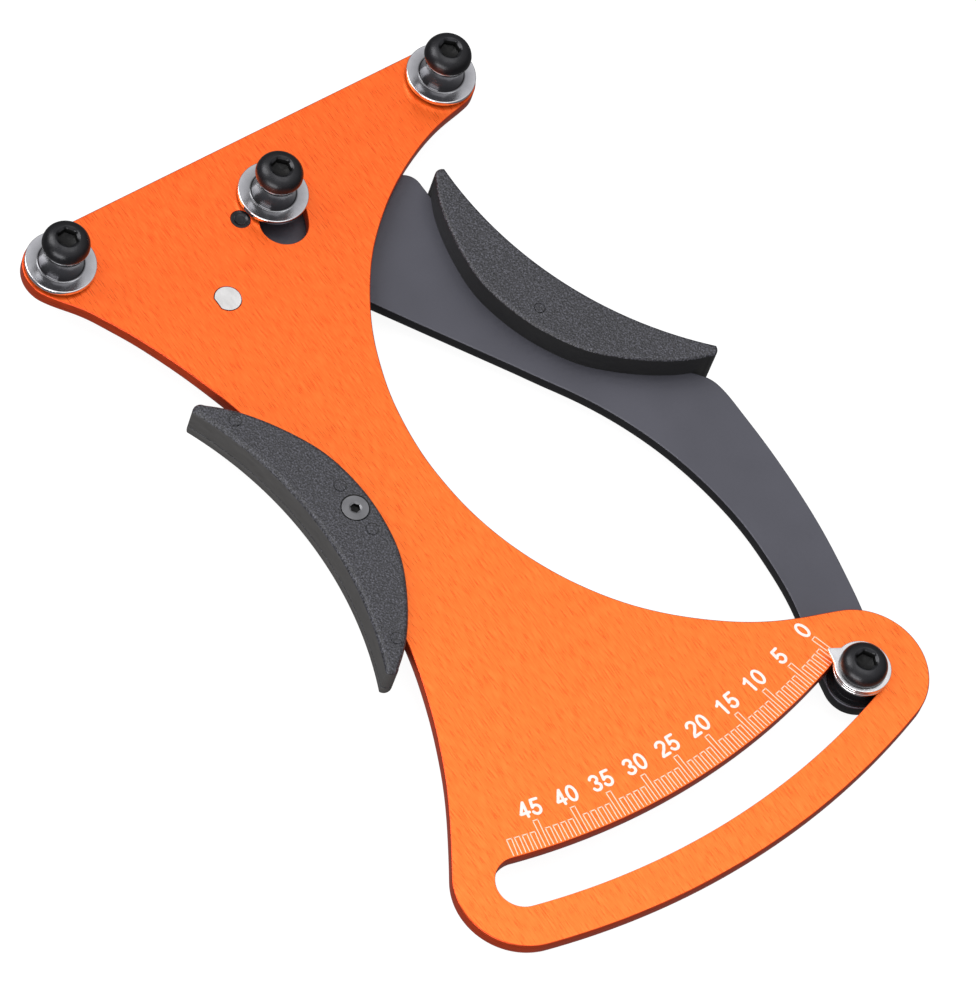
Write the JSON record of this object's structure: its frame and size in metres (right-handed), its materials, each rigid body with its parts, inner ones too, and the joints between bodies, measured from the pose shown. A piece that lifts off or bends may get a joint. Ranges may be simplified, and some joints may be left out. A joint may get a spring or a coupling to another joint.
{
  "type": "spoke tension meter",
  "caption": "Hand-held spoke tension meter: flat face plate with spoke posts, a sprung squeeze lever behind it and a pointer that reads a curved scale.",
  "frame": {"origin": "bottom centre of the bounding box, with the tool on its back and the lever at rest", "axes": "+X from the left post to the right post, +Y from the scale to the posts, +Z from the lever behind to the plate's printed face"},
  "size_m": [0.1274, 0.1975, 0.0223],
  "materials": {
    "plate_orange": "orange anodised over a brushed grain, satin",
    "lever_dark": "dark grey anodised, satin",
    "grip_black": "moulded, fine texture",
    "screw_black": "black oxide, satin",
    "post_steel": "turned and polished steel",
    "zinc_steel": "zinc plated",
    "spring_steel": "drawn wire",
    "bronze": "sintered bronze, dull"
  },
  "bodies": {
    "frame": {"face_plate": "plate_orange", "frame_grip_front": "grip_black", "frame_grip_insert": "bronze", "frame_grip_rear": "grip_black", "frame_grip_screw": "screw_black", "left_post_nut": "zinc_steel", "left_post_ring": "post_steel", "left_post_screw": "screw_black", "left_post_spool": "post_steel", "pivot_front_shim": "zinc_steel", "pivot_pin": "screw_black", "pivot_rear_shim": "zinc_steel", "return_spring_coil": "spring_steel", "right_post_nut": "zinc_steel", "right_post_ring": "post_steel", "right_post_screw": "screw_black", "right_post_spool": "post_steel", "spring_post": "zinc_steel"},
    "lever": {"lever_arm": "lever_dark", "lever_grip_front": "grip_black", "lever_grip_insert": "bronze", "lever_grip_rear": "grip_black", "lever_grip_screw": "screw_black", "middle_post_nut": "zinc_steel", "middle_post_ring": "post_steel", "middle_post_screw": "screw_black", "middle_post_spool": "post_steel", "pivot_bush": "bronze", "pointer_nut": "screw_black", "pointer_plate": "post_steel", "pointer_screw": "screw_black", "pointer_spacer": "screw_black", "pointer_washers": "zinc_steel"},
    "spring_leg": {"return_spring_leg": "spring_steel"}
  },
  "joints": [
    {"name": "lever_squeeze", "type": "hinge", "parent": "frame", "child": "lever", "pos_m": [-0.00879, 0.08175, 0.0051], "axis": [0, 0, -1], "range_deg": [0, 32.4], "stiffness_Nm_per_rad": 1.2, "springref_deg": -31.51},
    {"name": "spring_leg_turn", "type": "hinge", "parent": "frame", "child": "spring_leg", "pos_m": [-0.02269, 0.06655, 0.0051], "axis": [0, 0, -1], "range_deg": [0, 45.2]}
  ],
  "couplings": [
    {"joint": "spring_leg_turn", "follows": "lever_squeeze", "ratio": 1.392}
  ]
}
